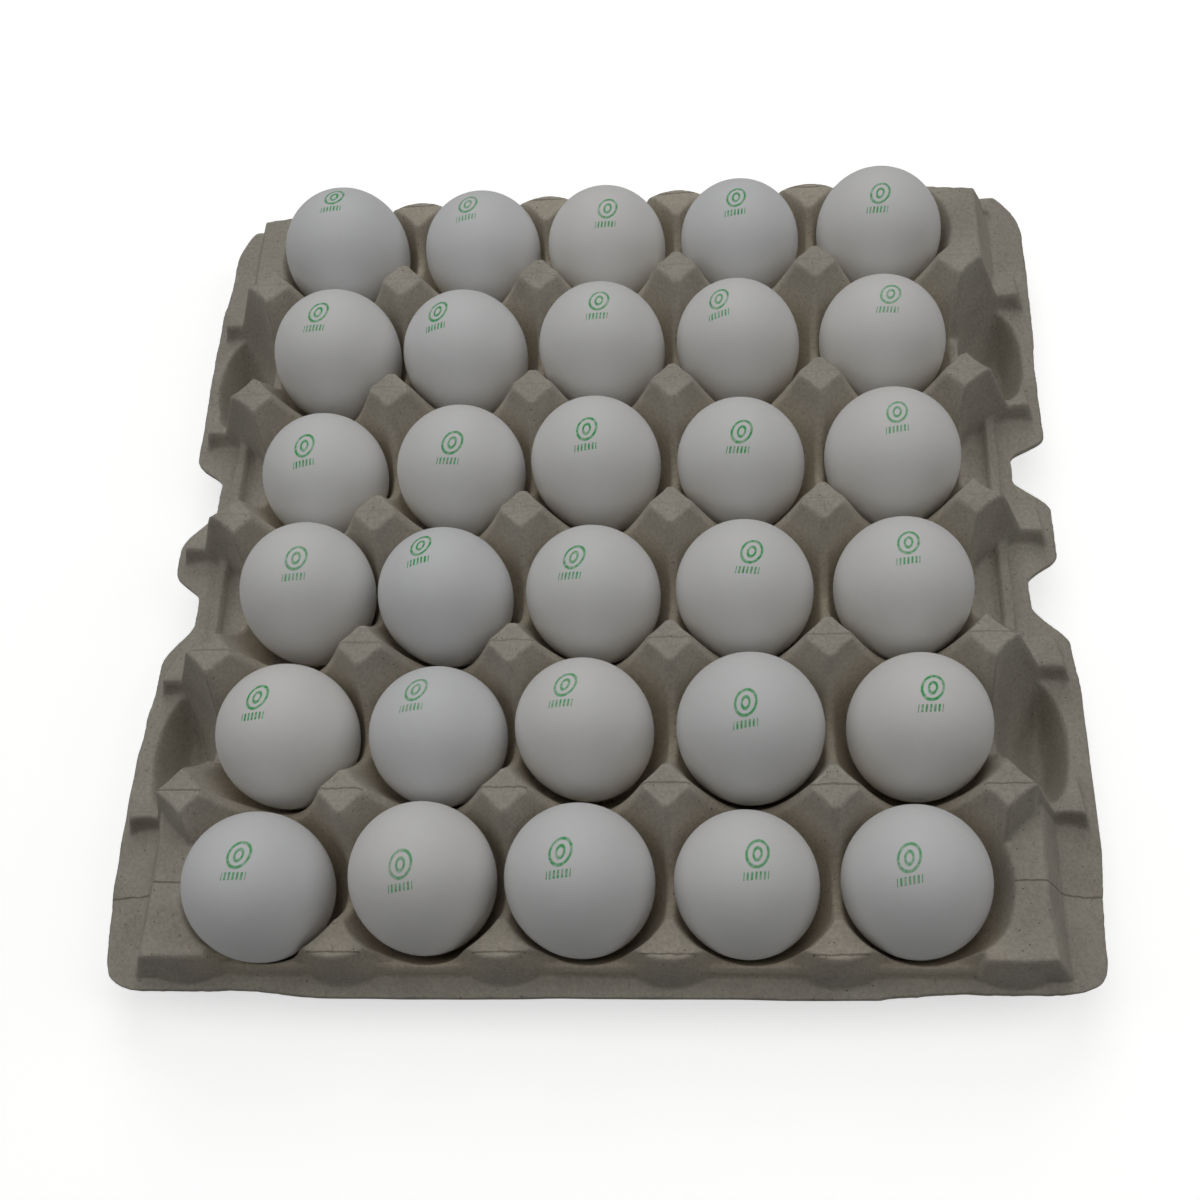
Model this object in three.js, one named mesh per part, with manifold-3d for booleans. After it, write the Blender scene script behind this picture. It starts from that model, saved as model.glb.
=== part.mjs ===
// Thirty hen's eggs standing in an open five by six tray of moulded paper pulp.
// Millimetres, +Z up. The tray stands on z = 0 and is centred on x = 0, y = 0.
import * as THREE from "three";
import { ConvexGeometry } from "three/addons/geometries/ConvexGeometry.js";
import { mergeVertices } from "three/addons/utils/BufferGeometryUtils.js";
import Module from "manifold-3d";

const wasm = await Module();
wasm.setup();

// The tray: cells on a square pitch, walls of one thickness of pulp.
const COLUMNS = 5;
const ROWS = 6;
const PITCH = 47;
const PULP = 2.1;
const HALF_LENGTH = 144.5; // to the outer edge of the side flanges
const HALF_DEPTH = 147; // to the outer edge of the front and back flanges
const FULL_DEPTH_TO_X = 84; // beyond this those edges draw in towards the corners
const FRONT_CORNER = { radius: 12, depth: 145.6 };
const BACK_CORNER = { radius: 15, depth: 144.5 };
const CORNER_STEPS = 4;
const SIDE_BOW = { y: -85, reach: 2.5, spread: 45 }; // the side flanges stand out in front
const SIDE_BOW_STEPS = 3;
// Cutters and blocks run on to these, well clear of the tray.
const FAR_BELOW = -20;
const FAR_ABOVE = 60;
const FAR_OUT = 200;

// Levels of its upper face.
const POST_TOP = 45.8;
const DECK_TOP = 34; // corner decks and the half posts along the front and back
const SADDLE_TOP = 23.4; // ridge between two cells, at its lowest
const BAR_TOP = 25.3; // stacking bars across the side flanges
const FLANGE_TOP = 20.3;
const FLANGE_DROOP = 2.2; // the side flanges hang this much lower at their edge
const RIM_TOP = 24.9; // low rim in front of the outer cells, between the half posts
const CUP_FLOOR = PULP;

// A cell is a round cup: radius and height, from the floor up to the post tops.
const CUP_SIDES = 16;
const UNDER_CUP_SIDES = 12; // its under face has fewer
const CUP_PROFILE = [
  [10, CUP_FLOOR],
  [22.4, 22.4],
  [28, POST_TOP],
];
const RIDGE_LEVEL_HALF = 3.9; // half the level length of the ridge between two cups
const RIDGE_REACH_AT_TOP = 15.8; // where it reaches the posts, from the middle of the ridge

// The border: half cells beside the outer posts, opening over the flanges.
const BORDER_X = (COLUMNS * PITCH) / 2; // centre line of the outer posts
const BORDER_Y = (ROWS * PITCH) / 2;
const OUTER_POST_REACH = 7.9; // from that line to an outer post's outer corner
const SIDE_CUP_CENTRE_X = 137;
const SIDE_CUP_RADIUS_AT_FLANGE = 21.6;
const SIDE_CUP_RADIUS_AT_TOP = 26.5;
const CORNER_CUP_RADIUS_AT_DECK = 22.6;
const DECK_OUTER_X = 127.8;
const DECK_FOOT_X = 134;
const DECK_FRONT_Y = 140.2;
const DECK_BACK_Y = 136.5; // the back decks end sooner
const DECK_BACK_FROM_X = 108;
const DECK_INNER_X = 107.5; // where it starts, inside the corner cup
const HALF_POST_FROM_Y = 106; // beyond this the tray is no higher than the decks
const CORE_HALF_DEPTH = 137.8;
const RIM_HALF_DEPTH = 140.4;
const HALF_POST_FRONT = { centreY: 124, radiusAtTop: 16.2, radiusAtFlange: 19.8 };
// A stacking bar starts inside its post and ends in a sloping foot short of the edge.
const BAR = { rootX: 129, fromX: 133, toX: 141.5, footX: 143, setBack: 1, rampLength: 13 };
const FIN = { width: 5, topDepth: 4, footX: 1, footDepth: 10 }; // from post corner to bar
const RIB = { fromX: 124.8, toX: 128.4, top: 24 }; // beside rows 3 and 4
const NOTCH_CENTRES_Y = [-21.5, 23];
const NOTCH_DEPTH = 11.5;
const NOTCH_FLAT = 4; // half the width of a notch's straight bottom
const NOTCH_SWEEP = 13.5; // and how far each of its curved sides runs
const NOTCH_STEPS = 5;
const MIDDLE_ROWS = [2, 3];
const POCKET_ROWS = [1, 4];
const POCKET_RIDGE_X = 118.8;
// A pocket is one more cup along its row, cut short towards the edge by this round wall.
const POCKET_WALL = { centreX: 112.3, radiusAtFloor: 23, radiusAtFlange: 28.5 };

// The eggs: blunt end up, resting in the cups.
const EGG_SIDES = 12;
// Share of its radius and of its half length, from the pointed end up.
const EGG_OUTLINE = [
  [0, -1],
  [0.53, -0.81],
  [0.92, -0.31],
  [1, 0.31],
  [0.66, 0.81],
  [0, 1],
];
const EGG_CLEARANCE = 0.9; // between an egg and the floor of its cup
const EGG_PIVOT_Z = 13; // an egg leans about this height in its cup
// Each egg, front row first: how far its middle leans in x and y, its width, its length.
const EGGS = [
  [[-1, -1.5, 42.5, 57], [0, 0.5, 42, 57.5], [-1.5, 0, 42.5, 57], [-1.5, -0.5, 41, 53.5], [-1.5, 0, 42, 54]],
  [[1, -1, 43, 55.5], [0.5, -1.5, 41.5, 54.5], [-2, 0, 41, 55], [0, -1, 43.5, 57.5], [1.5, -1, 42, 57]],
  [[1.5, 0.5, 42.5, 57], [-0.5, -1.5, 42, 57], [-1, -1, 42, 54.5], [-1, -1, 42.5, 55], [0, -1.5, 42.5, 55.5]],
  [[1, -0.5, 41.5, 51], [0.5, -1, 42, 54], [-1.5, 0, 42, 54.5], [-1.5, -1, 41, 53.5], [-0.5, -1, 43, 55]],
  [[1, -0.5, 43, 57], [-1, -1, 42, 55], [-1, -1, 42.5, 56.5], [-2, -0.5, 41, 55], [-1, -0.5, 42, 53]],
  [[-0.5, -1, 43.5, 56.5], [1, -0.5, 41, 51], [-1, -1, 41.5, 51.5], [-1, -1, 41, 51.5], [0, -0.5, 43, 53]],
];

const PULP_GREY = 0x8a857a;
const SHELL_WHITE = 0xe4e2dc;

const cellX = (column) => (column - (COLUMNS - 1) / 2) * PITCH;
const cellY = (row) => (row - (ROWS - 1) / 2) * PITCH;
const range = (count) => [...Array(count).keys()];

// --- closed geometry to solid and back -------------------------------------

function solidOf(geometry) {
  const bare = geometry.index ? geometry.toNonIndexed() : geometry.clone();
  bare.deleteAttribute("normal");
  bare.deleteAttribute("uv");
  const merged = mergeVertices(bare, 1e-4);
  const index = merged.index.array;
  const kept = [];
  for (let i = 0; i < index.length; i += 3) {
    const [a, b, c] = [index[i], index[i + 1], index[i + 2]];
    if (a !== b && b !== c && c !== a) kept.push(a, b, c);
  }
  return new wasm.Manifold(
    new wasm.Mesh({
      numProp: 3,
      vertProperties: merged.attributes.position.array,
      triVerts: new Uint32Array(kept),
    }),
  );
}

function geometryOf(solid) {
  const mesh = solid.getMesh();
  return new THREE.BufferGeometry()
    .setAttribute("position", new THREE.BufferAttribute(mesh.vertProperties, 3))
    .setIndex(new THREE.BufferAttribute(mesh.triVerts, 1));
}

const union = (solids) => solids.reduce((all, solid) => all.add(solid));

function box(x0, x1, y0, y1, z0, z1) {
  const geometry = new THREE.BoxGeometry(x1 - x0, y1 - y0, z1 - z0);
  return solidOf(geometry.translate((x0 + x1) / 2, (y0 + y1) / 2, (z0 + z1) / 2));
}

function hull(points) {
  return solidOf(new ConvexGeometry(points.map((p) => new THREE.Vector3(...p))));
}

// A solid of revolution about +Z, with a flat side facing each axis direction.
function turned(profile, x, y, sides = CUP_SIDES) {
  const points = [[0, profile[0][1]], ...profile, [0, profile.at(-1)[1]]];
  const geometry = new THREE.LatheGeometry(
    points.map(([radius, z]) => new THREE.Vector2(radius, z)),
    sides,
    Math.PI / sides,
  );
  return solidOf(geometry.rotateX(Math.PI / 2).translate(x, y, 0));
}

// --- the cups ----------------------------------------------------------------

// The profile moved outward by a distance, square to itself.
function offsetProfile(profile, distance) {
  return profile.map(([radius, z], i) => {
    const [r0, z0] = profile[Math.max(i - 1, 0)];
    const [r1, z1] = profile[Math.min(i + 1, profile.length - 1)];
    const length = Math.hypot(r1 - r0, z1 - z0);
    if (i === 0) return [radius + distance / 2, z - distance];
    return [radius + (distance * (z1 - z0)) / length, z - (distance * (r1 - r0)) / length];
  });
}

// A cup's cutter reaches past the post tops at the slope of its upper wall.
function cupCutter(skin) {
  const grown = offsetProfile(CUP_PROFILE, skin);
  const [[r0, z0], [r1, z1]] = grown.slice(-2);
  return [...grown, [r1 + ((r1 - r0) / (z1 - z0)) * (FAR_ABOVE - z1), FAR_ABOVE]];
}

// The ridges between neighbouring cups are flat topped: one long cutter runs along a
// whole row or column of cells, level at the saddles and rising to the posts' corners.
function ridgeCutter(alongX, centre, halfLength) {
  const rise = (RIDGE_REACH_AT_TOP - RIDGE_LEVEL_HALF) / (POST_TOP - SADDLE_TOP);
  const reach = RIDGE_REACH_AT_TOP + rise * (FAR_ABOVE - POST_TOP);
  const shape = new THREE.Shape([
    new THREE.Vector2(-RIDGE_LEVEL_HALF, SADDLE_TOP),
    new THREE.Vector2(RIDGE_LEVEL_HALF, SADDLE_TOP),
    new THREE.Vector2(reach, FAR_ABOVE),
    new THREE.Vector2(-reach, FAR_ABOVE),
  ]);
  const depth = 2 * halfLength;
  const geometry = new THREE.ExtrudeGeometry(shape, { depth, bevelEnabled: false });
  geometry.translate(0, 0, -halfLength).rotateX(Math.PI / 2); // upright, its length along y
  if (alongX) return solidOf(geometry.rotateZ(Math.PI / 2).translate(0, centre, 0));
  return solidOf(geometry.translate(centre, 0, 0));
}

// --- the border --------------------------------------------------------------

function flange(skin) {
  const top = FLANGE_TOP - skin;
  const section = [
    [DECK_FOOT_X, top],
    [HALF_LENGTH, top - FLANGE_DROOP],
    [FAR_OUT, top - FLANGE_DROOP],
    [FAR_OUT, FAR_BELOW],
  ];
  const both = section.flatMap(([x, z]) => [[x, z], [-x, z]]);
  return hull(both.flatMap(([x, z]) => [[x, -FAR_OUT, z], [x, FAR_OUT, z]]));
}

// A corner deck, with its sloping outer side.
function cornerDeck(sx, sy, skin) {
  const section = [
    [DECK_INNER_X, FAR_BELOW],
    [DECK_FOOT_X - skin, FAR_BELOW],
    [DECK_FOOT_X - skin, FLANGE_TOP - skin],
    [DECK_OUTER_X - skin, DECK_TOP - skin],
    [DECK_INNER_X, DECK_TOP - skin],
  ];
  const near = BORDER_Y - PITCH;
  const far = (sy < 0 ? DECK_FRONT_Y : DECK_BACK_Y) - skin;
  return hull(section.flatMap(([x, z]) => [near, far].map((y) => [sx * x, sy * y, z])));
}

// What is taken off the posts behind a back deck.
function backCornerCutter(sx, skin) {
  const [x0, x1] = [sx * (DECK_BACK_FROM_X - skin), sx * FAR_OUT].sort((a, b) => a - b);
  return box(x0, x1, DECK_BACK_Y - skin, FAR_OUT, FLANGE_TOP - skin, FAR_ABOVE);
}

// The rounded front of a half post.
function halfPostFront(x, sy, skin) {
  const { centreY, radiusAtTop, radiusAtFlange } = HALF_POST_FRONT;
  const slope = (radiusAtFlange - radiusAtTop) / (DECK_TOP - FLANGE_TOP);
  const profile = [
    [radiusAtTop - skin + slope * (DECK_TOP - skin - FAR_BELOW), FAR_BELOW],
    [radiusAtTop - skin, DECK_TOP - skin],
  ];
  return turned(profile, x, sy * centreY);
}

// An outer post runs out and down to a stacking bar, with a ramp behind the bar.
function buttress(sx, y, skin) {
  const front = y - BAR.setBack + skin;
  const back = y + BAR.rampLength;
  const corner = BORDER_X + OUTER_POST_REACH - skin;
  const top = POST_TOP - skin;
  const bar = BAR_TOP - skin;
  const foot = FLANGE_TOP - skin;
  const edge = foot - FLANGE_DROOP;
  const ramp = [
    [BAR.rootX, front, bar],
    [BAR.toX - skin, front, bar],
    [BAR.footX - skin, front, edge],
    [BAR.rootX, back, foot],
    [BAR.footX - skin, back, edge],
  ];
  const fin = [
    [corner - FIN.width, front, top],
    [corner, front, top],
    [BAR.fromX - skin, front, bar],
    [corner - FIN.width, y + FIN.topDepth, top],
    [corner + FIN.footX, y + FIN.footDepth, foot],
  ];
  return [ramp, fin].map((points) =>
    hull(points.flatMap(([x, py, z]) => [[sx * x, py, z], [sx * x, py, FAR_BELOW]])),
  );
}

// A low rib along the flange, beside the two middle rows.
function rib(sx, row) {
  const [x0, x1] = [sx * RIB.fromX, sx * RIB.toX].sort((a, b) => a - b);
  const y = cellY(row);
  return box(x0, x1, y - PITCH / 2, y + PITCH / 2, FLANGE_TOP - PULP, RIB.top);
}

// The half cell beside an outer cell, open outward over the flange or the corner deck.
function sideCutter(sx, row, skin) {
  if (POCKET_ROWS.includes(row)) {
    const [x0, x1] = [sx * (POCKET_RIDGE_X - skin), sx * FAR_OUT].sort((a, b) => a - b);
    return nextCup(sx, row, skin).intersect(box(x0, x1, -FAR_OUT, FAR_OUT, FAR_BELOW, FAR_ABOVE));
  }
  const corner = row === 0 || row === ROWS - 1;
  const floor = (corner ? DECK_TOP : FLANGE_TOP) - skin;
  const floorRadius = (corner ? CORNER_CUP_RADIUS_AT_DECK : SIDE_CUP_RADIUS_AT_FLANGE) + skin;
  const topRadius = SIDE_CUP_RADIUS_AT_TOP + skin;
  const slope = (topRadius - floorRadius) / (POST_TOP - floor);
  const profile = [
    [floorRadius, floor],
    [topRadius + slope * (FAR_ABOVE - POST_TOP), FAR_ABOVE],
  ];
  return turned(profile, sx * SIDE_CUP_CENTRE_X, cellY(row));
}

// Beside a row with a pocket the cups go on for one more column.
function nextCup(sx, row, skin) {
  return turned(cupCutter(skin), sx * cellX(COLUMNS), cellY(row));
}

// The deep finger pocket in the flange.
function pocketCutter(sx, row, skin) {
  const { centreX, radiusAtFloor, radiusAtFlange } = POCKET_WALL;
  const bottom = CUP_FLOOR - skin;
  const slope = (radiusAtFlange - radiusAtFloor) / (FLANGE_TOP - CUP_FLOOR);
  const profile = [
    [radiusAtFloor + skin, bottom],
    [radiusAtFloor + skin + slope * (FAR_ABOVE - bottom), FAR_ABOVE],
  ];
  return turned(profile, sx * centreX, cellY(row)).intersect(nextCup(sx, row, skin));
}

// The plan outline: rounded corners, two finger notches and a slight bow on each side.
function trimmer() {
  const half = [[FULL_DEPTH_TO_X, -HALF_DEPTH]];
  const arc = ({ radius, depth }, sy, from) => {
    const [cx, cy] = [HALF_LENGTH - radius, sy * (depth - radius)];
    for (const i of range(CORNER_STEPS + 1)) {
      const angle = from + ((Math.PI / 2) * i) / CORNER_STEPS;
      half.push([cx + radius * Math.cos(angle), cy + radius * Math.sin(angle)]);
    }
  };
  arc(FRONT_CORNER, -1, -Math.PI / 2);
  for (const i of range(2 * SIDE_BOW_STEPS - 1)) {
    const share = (i + 1) / SIDE_BOW_STEPS - 1;
    const bow = (SIDE_BOW.reach * (1 + Math.cos(Math.PI * share))) / 2;
    half.push([HALF_LENGTH + bow, SIDE_BOW.y + share * SIDE_BOW.spread]);
  }
  for (const y of NOTCH_CENTRES_Y) {
    for (const i of range(2 * NOTCH_STEPS + 2)) {
      const step = i <= NOTCH_STEPS ? i - NOTCH_STEPS : i - NOTCH_STEPS - 1;
      const share = Math.abs(step) / NOTCH_STEPS;
      const bite = (NOTCH_DEPTH * (1 + Math.cos(Math.PI * share))) / 2;
      const flat = i <= NOTCH_STEPS ? -NOTCH_FLAT : NOTCH_FLAT;
      half.push([HALF_LENGTH - bite, y + flat + (step / NOTCH_STEPS) * NOTCH_SWEEP]);
    }
  }
  arc(BACK_CORNER, 1, 0);
  half.push([FULL_DEPTH_TO_X, HALF_DEPTH]);
  const other = half.map(([x, y]) => [-x, y]).reverse();
  const shape = new THREE.Shape([...half, ...other].map(([x, y]) => new THREE.Vector2(x, y)));
  const depth = 2 * FAR_ABOVE;
  const geometry = new THREE.ExtrudeGeometry(shape, { depth, bevelEnabled: false });
  return solidOf(geometry.translate(0, 0, FAR_BELOW / 2));
}

// --- the tray ------------------------------------------------------------------

// Everything below the tray's upper face (skin 0), or below its under face (skin PULP).
function landform(skin) {
  const upper = skin === 0;
  const halfWidth = BORDER_X + OUTER_POST_REACH - skin;
  const halfDepth = CORE_HALF_DEPTH - skin;
  const rimDepth = RIM_HALF_DEPTH - skin;
  const top = POST_TOP - skin;
  const fronts = [-1, 1].flatMap((sy) =>
    range(COLUMNS + 1).map((post) => halfPostFront(cellX(post) - PITCH / 2, sy, skin)),
  );
  const core = union([
    box(-halfWidth, halfWidth, -halfDepth, halfDepth, FAR_BELOW, top),
    box(-BORDER_X, BORDER_X, -rimDepth, rimDepth, FAR_BELOW, RIM_TOP - skin),
    ...fronts,
  ]);

  const lowered = [-1, 1].map((sy) => {
    const [y0, y1] = [sy * HALF_POST_FROM_Y, sy * FAR_OUT].sort((a, b) => a - b);
    return box(-FAR_OUT, FAR_OUT, y0, y1, DECK_TOP - skin, FAR_ABOVE);
  });
  const border = [flange(skin)];
  for (const sx of [-1, 1]) {
    for (const row of range(ROWS)) lowered.push(sideCutter(sx, row, skin));
    for (const row of range(ROWS - 1)) {
      border.push(...buttress(sx, cellY(row) + PITCH / 2, skin));
    }
    for (const sy of [-1, 1]) border.push(cornerDeck(sx, sy, skin));
    lowered.push(backCornerCutter(sx, skin));
    if (upper) for (const row of MIDDLE_ROWS) border.push(rib(sx, row));
  }

  const cup = turned(cupCutter(skin), 0, 0, upper ? CUP_SIDES : UNDER_CUP_SIDES);
  const hollows = [];
  for (const row of range(ROWS)) {
    for (const column of range(COLUMNS)) {
      hollows.push(cup.translate([cellX(column), cellY(row), 0]));
    }
  }
  for (const sx of [-1, 1]) {
    for (const row of POCKET_ROWS) hollows.push(pocketCutter(sx, row, skin));
  }
  if (upper) {
    for (const column of range(COLUMNS)) {
      lowered.push(ridgeCutter(false, cellX(column), BORDER_Y - PITCH / 2));
    }
    for (const row of range(ROWS)) {
      lowered.push(ridgeCutter(true, cellY(row), POCKET_RIDGE_X + 1));
    }
  }
  return core.subtract(union(lowered)).add(union(border)).subtract(union(hollows));
}

// --- the eggs ------------------------------------------------------------------

function egg(row, column) {
  const [leanX, leanY, width, length] = EGGS[row][column];
  const points = EGG_OUTLINE.map(([across, along]) => {
    return new THREE.Vector2((across * width) / 2, (along * length) / 2);
  });
  const geometry = new THREE.LatheGeometry(points, EGG_SIDES).rotateX(Math.PI / 2);
  const centreZ = CUP_FLOOR + EGG_CLEARANCE + length / 2;
  const axis = new THREE.Vector3(leanX, leanY, centreZ - EGG_PIVOT_Z).normalize();
  const turn = new THREE.Quaternion().setFromUnitVectors(new THREE.Vector3(0, 0, 1), axis);
  geometry.applyQuaternion(turn);
  return geometry.translate(cellX(column) + leanX, cellY(row) + leanY, centreZ);
}

// --- the part --------------------------------------------------------------------

function mesh(name, geometry, material) {
  const made = new THREE.Mesh(geometry, material);
  made.name = name;
  return made;
}

const tray = landform(0).subtract(landform(PULP)).intersect(trimmer());
const group = new THREE.Group();
group.add(
  mesh(
    "egg_tray",
    geometryOf(tray),
    new THREE.MeshStandardMaterial({ color: PULP_GREY, roughness: 0.95, metalness: 0 }),
  ),
);
for (const row of range(ROWS)) {
  for (const column of range(COLUMNS)) {
    const shell = new THREE.MeshStandardMaterial({ color: SHELL_WHITE, roughness: 0.6, metalness: 0 });
    group.add(mesh(`egg_r${row + 1}_c${column + 1}`, egg(row, column), shell));
  }
}

export default group;
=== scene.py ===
"""Thirty white hen's eggs in an open tray of grey moulded pulp, on a pale table top."""

import math

import bpy
import numpy as np
from mathutils import Matrix, Vector


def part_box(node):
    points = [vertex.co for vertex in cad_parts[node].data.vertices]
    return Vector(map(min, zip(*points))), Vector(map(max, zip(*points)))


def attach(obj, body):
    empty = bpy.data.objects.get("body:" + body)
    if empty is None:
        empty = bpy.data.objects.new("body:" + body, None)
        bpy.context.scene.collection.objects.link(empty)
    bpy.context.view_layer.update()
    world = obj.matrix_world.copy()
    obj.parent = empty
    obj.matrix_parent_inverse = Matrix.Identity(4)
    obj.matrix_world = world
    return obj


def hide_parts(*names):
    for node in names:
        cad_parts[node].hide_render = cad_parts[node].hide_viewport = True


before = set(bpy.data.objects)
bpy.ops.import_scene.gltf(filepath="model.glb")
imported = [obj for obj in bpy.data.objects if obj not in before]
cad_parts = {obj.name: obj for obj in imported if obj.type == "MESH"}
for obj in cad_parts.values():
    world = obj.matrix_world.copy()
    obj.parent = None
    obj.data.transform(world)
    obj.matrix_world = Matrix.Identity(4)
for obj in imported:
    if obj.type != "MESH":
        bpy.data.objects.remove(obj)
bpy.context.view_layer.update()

MM = 0.001

# ---------------------------------------------------------------------------
# The tray's own dimensions, in millimetres, with z measured from the table.
# Its cells are round cups on a square pitch. X is |x| and Y is |y|: the mould is the same
# left and right, and nearly the same front and back.
# ---------------------------------------------------------------------------

PITCH = 47.0
COLUMNS, ROWS = 5, 6
BORDER_X = COLUMNS * PITCH / 2  # centre line of the outer posts
BORDER_Y = ROWS * PITCH / 2
COLUMN_X = (np.arange(COLUMNS) - (COLUMNS - 1) / 2) * PITCH
ROW_Y = (np.arange(ROWS) - (ROWS - 1) / 2) * PITCH
POST_X = (np.arange(COLUMNS + 1) - COLUMNS / 2) * PITCH
POST_Y = ROW_Y[:-1] + PITCH / 2
MIDDLE_ROW, POCKET_ROW, CORNER_ROW = 0, 1, 2  # kinds of row, from the middle outward
POCKET_ROW_Y = 1.5 * PITCH

PULP = 2.1  # thickness
POST_TOP = 45.8
DECK_TOP = 34.0  # corner decks and half posts
FLANGE_TOP = 20.3
BAR_TOP = 26.2  # stacking bars across the side flanges
NO_WALL, NO_HOLLOW = -99.0, 99.0  # heights that never count

# A cup, from its flat foot up to the post tops.
CUP_RADII = (0.0, 9.5, 12.6, 16.0, 19.2, 21.9, 28.0, 31.6)
CUP_HEIGHTS = (2.1, 2.1, 4.6, 10.2, 16.6, 22.4, 45.8, 59.6)
RIDGE_HALF_WIDTH = 1.3  # the flat top of the ridge between two cups
OUTER_CUP = {"nearer": 1.0, "y": 128, "over": 9}  # its end wall stands nearer, and leaves a rim

# The torn outer edge: its mean line, and what stretches towards it.
EDGE_X, EDGE_Y = 144.4, 147.2
EDGE_LIMIT = 146.7  # the torn line nowhere reaches further out
EVEN_X, EVEN_Y = 127.0, 141.5  # the grid is even up to here
FRONT_CORNER = {"radius": 12.0, "depth": 145.0}
BACK_CORNER = {"radius": 23.0, "depth": 141.8}
DRAW_IN = {"x": 72, "over": 30}  # where the front and back edges draw in to those depths
# How far the side edges stand out or in along y: (middle, flat half length, sweep, reach)
EDGE_WAVES = {
    -1: ((-21.3, 4.0, 12.5, -10.3), (22.5, 5.0, 13.5, -11.2), (-92, 16, 36, 2.6), (122, 4, 16, -1.6)),
    1: ((-21.3, 4.0, 12.5, -10.3), (25.0, 3.5, 10.5, -11.6), (-80, 18, 38, 2.4), (107, 24, 18, 1.2)),
}

# The block that the posts are left standing from, and the lower forms round it.
CORE_X, CORE_Y = 125.6, 137.8
HALF_POST_Y = 106.0  # beyond this the tray is no higher than the decks
HALF_POST = {"y": 124.0, "radius": 16.2, "draft": 0.257}  # its rounded outer wall
RIM_Y, RIM_TOP = 140.4, 25.2  # low rim before the outer cups
DECK_X, DECK_FOOT_X = 127.8, 134.0  # a deck's outer side slopes from one to the other
DECK_REACH = 10  # how far a deck reaches in from the outer posts' line
DECK_FRONT_Y, DECK_BACK_Y, DECK_END_DRAFT = 140.2, 136.5, 0.1  # the back decks end sooner
DECK_BACK_TAPER = {"x": (110.0, 128.0), "by": 2.0}
SIDE_DROOP = 0.22  # slope of the side flanges beyond the decks' foot
FRONT_FLANGE = {"lower": 0.5, "y": 141, "droop": 0.17}  # the flanges in front and at the back

# Beside the outer posts: half cups, crests with stacking bars, and ribs.
OUTER_WALL_X = BORDER_X - 1.4  # from here outward the posts have their outer walls
SIDE_CUP = {"x": 137.0, "flange_radius": 21.6, "deck_radius": 22.4, "top_radius": 26.4}
POST_CORNER_X = 125.3
BAR_START = (133.0, -1.0)  # where the crest meets the bar: x, and how far behind the post's line
BAR_INNER_X = 128.0  # the bar and its ramp begin here, under the crest
BAR_FRONT = {"from_row": 20.8, "draft": 0.15}  # the bar's steep front beside a pocket
BAR_END = (5.1, 2.7)  # how far short of the torn edge the bar's top and foot end
BUTTRESS_FRONT = -11  # a crest and its bar reach this far in front of the post's line
CREST_INNER = {"x": 122.5, "splay": 0.13, "draft": 0.106}  # the crest's wall towards the cells
RAMP = {"length": 13.0, "out": 1.7, "foot_sinks": 1, "end_sinks": 2.5}  # behind the bar
RIB_X, RIB_TOP = (124.8, 128.4), 23.8
RECESS = {"x": (117.7, 124.8), "z": (22.0, 20.0)}

# The finger pockets: one more cup along the row, cut short by a round wall.
NEXT_CUP_X = 141.0
POCKET_WALL = {"x": 112.3, "radius": 28.9, "draft": 0.30, "squareness": 2.35}
POCKET_SHORTER, POCKET_ROUNDING = 1.12, 1.4  # the wall's ends draw in, and meet the cup in a round
POCKET_RIDGE = {"x": 118.8, "z": 23.6}  # the ridge between a pocket and its row
SADDLE = {"half_width": 2.5, "half_length": 6.0, "z": 24.5, "rise": 4.0}  # lowers that ridge

# What became of this one tray as its stock dried and it was carried about.
# The posts that have pulled out of line: (column, line) from the front left, and how far
# each has gone in x and y.
PULLED_POSTS = {
    (0, 0): (-1.2, 0.6), (1, 0): (-1.5, 0.4), (2, 0): (-0.8, 0.5), (5, 0): (1.6, 0),
    (0, 1): (-2.4, 0), (1, 1): (-0.8, 0), (3, 1): (-0.5, 0.9), (5, 1): (1.0, 0),
    (0, 2): (0, -1.4), (2, 2): (-0.8, 0),
    (1, 4): (0, 1.0), (2, 4): (0.9, 0.3), (3, 4): (0, 0.7), (4, 4): (0.7, 1.4),
    (2, 5): (0.7, 0), (3, 5): (1.0, 1.0), (4, 5): (0.8, 0.7), (5, 5): (0.9, 0),
}
PULL_SPAN = (5.0, 18.0)  # the whole shift within the first distance, none beyond the second
# Where a back deck's side gave way, down to a little below the flange.
DENT = {"x": 133.0, "y": 132.6, "half": (2.2, 3.4), "deep": 6.5, "below_flange": 1.5}
SAG = {"x": -66, "half_width": 32, "y": -139, "over": 7, "deep": 1.5}  # of the front edge
WARP = {"x": 128, "y": 140, "over": 14, "more": 1.6}  # the flanges warp more than the cups
SEAT = {"z": 3.5, "over": 3}  # the feet stay flat on the table

# Unevenness, as (size, wavelength, seed) in millimetres.
FACE_SWAY = ((0.28, 60, 11), (0.14, 17, 12))  # both faces together
FACE_GRAIN = ((0.05, 3.1, 13),)  # the upper face alone
EDGE_WAVER = ((0.22, 26, 3), (0.13, 7, 4), (0.08, 2.6, 5))  # the torn outline
EDGE_RAGGED = {"out": 0.1, "waver": ((0.1, 2.2, 21),)}  # the torn edge's middle line
EDGE_MIDDLE = {"share": 0.5, "waver": ((0.15, 4.0, 22),)}  # its depth in the thickness
NOISE_WAVES, NOISE_LENGTHS, NOISE_PEAK = 7, (0.65, 1.6), 1.5

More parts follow.
